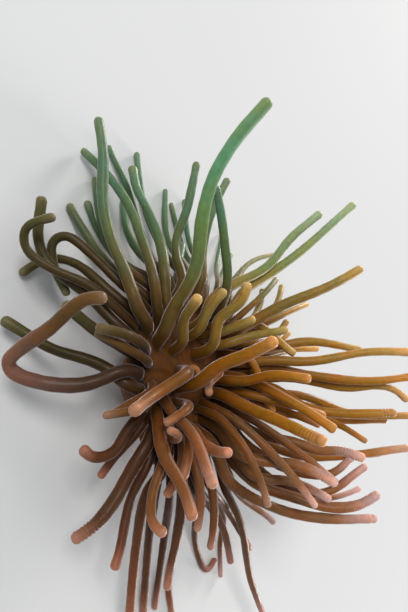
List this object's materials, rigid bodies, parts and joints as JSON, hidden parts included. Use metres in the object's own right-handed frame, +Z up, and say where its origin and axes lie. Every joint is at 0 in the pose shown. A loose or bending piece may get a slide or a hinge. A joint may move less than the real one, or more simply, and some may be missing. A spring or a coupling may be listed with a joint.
{
  "type": "sea anemone",
  "caption": "Still life-size sea anemone: a short column on a round foot, a wavy disc with a slit mouth, and long finger-like blunt tentacles spreading all round.",
  "frame": {"origin": "centre of the flat underside of the pedal disc, on the floor", "axes": "+Z up, along the column, through the mouth; -Y to the front; the tallest tentacles lean towards -X and the ones seen at the right of the picture rise along +Z"},
  "size_m": [0.6193, 0.4421, 0.2366],
  "materials": {
    "tentacle": "moist, olive green to golden brown, pale at the blunt tip",
    "disc": "moist, golden brown",
    "lips": "moist, paler golden brown",
    "column": "smooth, mauve brown with faint ribs",
    "foot": "smooth, mauve brown"
  },
  "bodies": {
    "root": {"pedal_disc": "foot", "column": "column", "mouth": "lips", "tentacle_loop_a": "tentacle", "tentacle_loop_b": "tentacle", "tentacle_loop_c": "tentacle", "tentacle_arch_a": "tentacle", "tentacle_arch_b": "tentacle", "tentacle_floor_a": "tentacle", "tentacle_floor_b": "tentacle", "tentacle_left_1_a": "tentacle", "tentacle_left_1_b": "tentacle", "tentacle_tall_a": "tentacle", "tentacle_tall_b": "tentacle", "tentacle_upper_1_a": "tentacle", "tentacle_upper_1_b": "tentacle", "tentacle_upper_2_a": "tentacle", "tentacle_upper_2_b": "tentacle", "tentacle_upper_3_a": "tentacle", "tentacle_upper_3_b": "tentacle", "tentacle_upper_4_a": "tentacle", "tentacle_upper_4_b": "tentacle", "tentacle_right_1_a": "tentacle", "tentacle_right_1_b": "tentacle", "tentacle_right_2_a": "tentacle", "tentacle_right_2_b": "tentacle", "tentacle_right_3": "tentacle", "tentacle_right_4": "tentacle", "tentacle_right_5_a": "tentacle", "tentacle_right_5_b": "tentacle", "tentacle_right_6_a": "tentacle", "tentacle_right_6_b": "tentacle", "tentacle_right_7_a": "tentacle", "tentacle_right_7_b": "tentacle", "tentacle_right_8": "tentacle", "tentacle_right_9": "tentacle", "tentacle_lower_1_a": "tentacle", "tentacle_lower_1_b": "tentacle", "tentacle_lower_2": "tentacle", "tentacle_lower_3_a": "tentacle", "tentacle_lower_3_b": "tentacle", "tentacle_lower_4_a": "tentacle", "tentacle_lower_4_b": "tentacle", "tentacle_under_1": "tentacle", "tentacle_under_2": "tentacle", "tentacle_under_3_a": "tentacle", "tentacle_under_3_b": "tentacle", "tentacle_under_4": "tentacle", "tentacle_under_5_a": "tentacle", "tentacle_under_5_b": "tentacle", "disc_1": "disc", "disc_2": "disc", "disc_3": "disc", "disc_4": "disc", "disc_5": "disc", "disc_6": "disc", "disc_7": "disc", "disc_8": "disc"}
  },
  "joints": []
}
